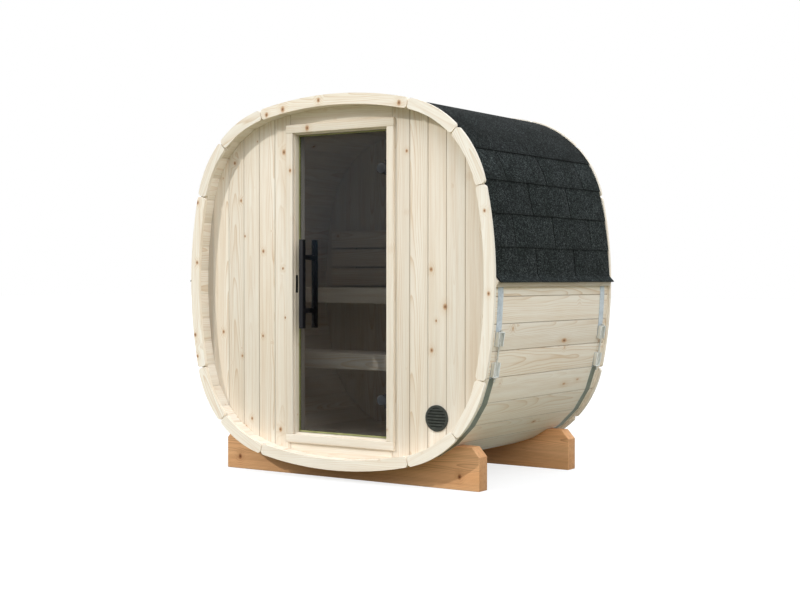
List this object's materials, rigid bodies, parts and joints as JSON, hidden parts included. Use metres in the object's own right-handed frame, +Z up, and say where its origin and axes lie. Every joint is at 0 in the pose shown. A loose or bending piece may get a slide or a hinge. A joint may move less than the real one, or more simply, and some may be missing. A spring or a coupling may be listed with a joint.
{
  "type": "barrel sauna",
  "caption": "Barrel sauna: a rounded square shell of staves on timber cradles, with trim rings, a hinged glass door, a vent, steel bands, a shingled roof and benches inside.",
  "frame": {"origin": "on the ground under the middle of the barrel, at the bottom centre of its box", "axes": "+Z up, -Y out of the front with the door, +X to the right seen from the front"},
  "size_m": [2.125, 1.364, 2.1314],
  "materials": {
    "pale_wood": "planed and oiled",
    "cradle_timber": "brown impregnated",
    "roof_shingle": "mineral granules",
    "zinc_steel": "galvanised",
    "black_metal": "matt black",
    "smoked_glass": "smoked grey"
  },
  "bodies": {
    "cabin": {"cradle_front": "cradle_timber", "cradle_rear": "cradle_timber", "staves_right": "pale_wood", "staves_upper_right": "pale_wood", "staves_top": "pale_wood", "staves_upper_left": "pale_wood", "staves_left": "pale_wood", "staves_lower_left": "pale_wood", "staves_bottom": "pale_wood", "staves_lower_right": "pale_wood", "front_trim_ring": "pale_wood", "rear_trim_ring": "pale_wood", "front_wall_left": "pale_wood", "front_wall_right": "pale_wood", "front_wall_over_door": "pale_wood", "front_wall_under_door": "pale_wood", "rear_wall": "pale_wood", "door_frame": "pale_wood", "door_casing": "pale_wood", "eave_batten_right": "pale_wood", "eave_batten_left": "pale_wood", "upper_bench_boards": "pale_wood", "upper_bench_front": "pale_wood", "lower_bench_boards": "pale_wood", "lower_bench_front": "pale_wood", "bench_bearers": "pale_wood", "backrest_boards": "pale_wood", "backrest_battens": "pale_wood", "floor_boards": "pale_wood", "floor_bearers": "pale_wood", "shingles_right": "roof_shingle", "shingles_left": "roof_shingle", "ridge_shingles": "roof_shingle", "front_band": "zinc_steel", "rear_band": "zinc_steel", "band_brackets": "zinc_steel", "tension_rods": "zinc_steel", "strike_plate": "black_metal", "hinge_leaves": "black_metal", "vent_grille": "black_metal"},
    "door": {"door_glass": "smoked_glass", "hinge_clamps": "black_metal", "handle_outside": "black_metal", "handle_inside": "black_metal"}
  },
  "joints": [
    {"name": "door_hinge", "type": "hinge", "parent": "cabin", "child": "door", "pos_m": [0.313, -0.608, 0], "axis": [0, 0, 1], "range_deg": [0, 110]}
  ]
}
